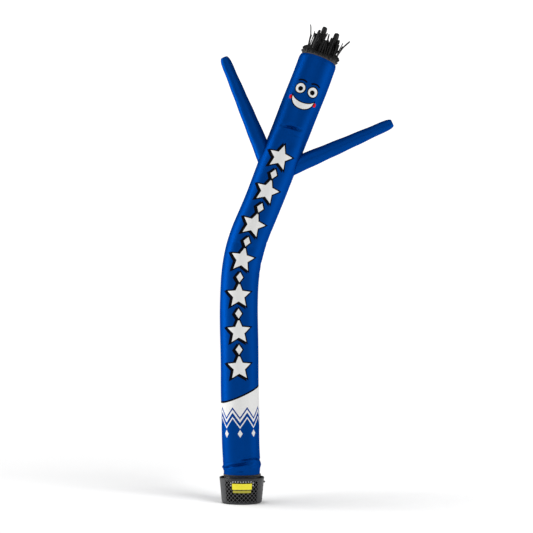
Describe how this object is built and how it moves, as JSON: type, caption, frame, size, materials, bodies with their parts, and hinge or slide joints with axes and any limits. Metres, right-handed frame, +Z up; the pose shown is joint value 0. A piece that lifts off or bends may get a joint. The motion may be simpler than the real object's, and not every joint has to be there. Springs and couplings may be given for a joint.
{
  "type": "inflatable air dancer on a round blower",
  "caption": "Tall cloth tube with two tapered sleeves and a crown of cut strips, leaning to one side, strapped onto a round perforated blower tub.",
  "frame": {"origin": "middle of the blower tub's flat underside", "axes": "+Z up along the standing tube, -Y towards the printed front, +X towards the side that the dancer leans to"},
  "size_m": [2.0775, 0.7347, 5.7249],
  "materials": {
    "dancer_nylon": "plain-woven nylon with a soft sheen",
    "crown_nylon": "black nylon strips",
    "cuff_webbing": "woven strap",
    "buckle_plastic": "moulded, satin",
    "tub_steel": "dark grey powder coat",
    "deck_steel": "black powder coat",
    "collar_steel": "dark grey powder coat",
    "casing_plastic": "moulded, dull",
    "gland_plastic": "moulded, satin",
    "label_plate": "plain yellow plate"
  },
  "bodies": {
    "root": {"body_tube": "dancer_nylon", "arm_left": "dancer_nylon", "arm_right": "dancer_nylon", "hair_crown": "crown_nylon", "cuff_strap": "cuff_webbing", "strap_buckle": "buckle_plastic", "blower_tub": "tub_steel", "tub_rim": "tub_steel", "blower_deck": "deck_steel", "outlet_collar": "collar_steel", "fan_casing": "casing_plastic", "cable_gland": "gland_plastic", "label_plate": "label_plate", "label_strip": "label_plate"}
  },
  "joints": []
}
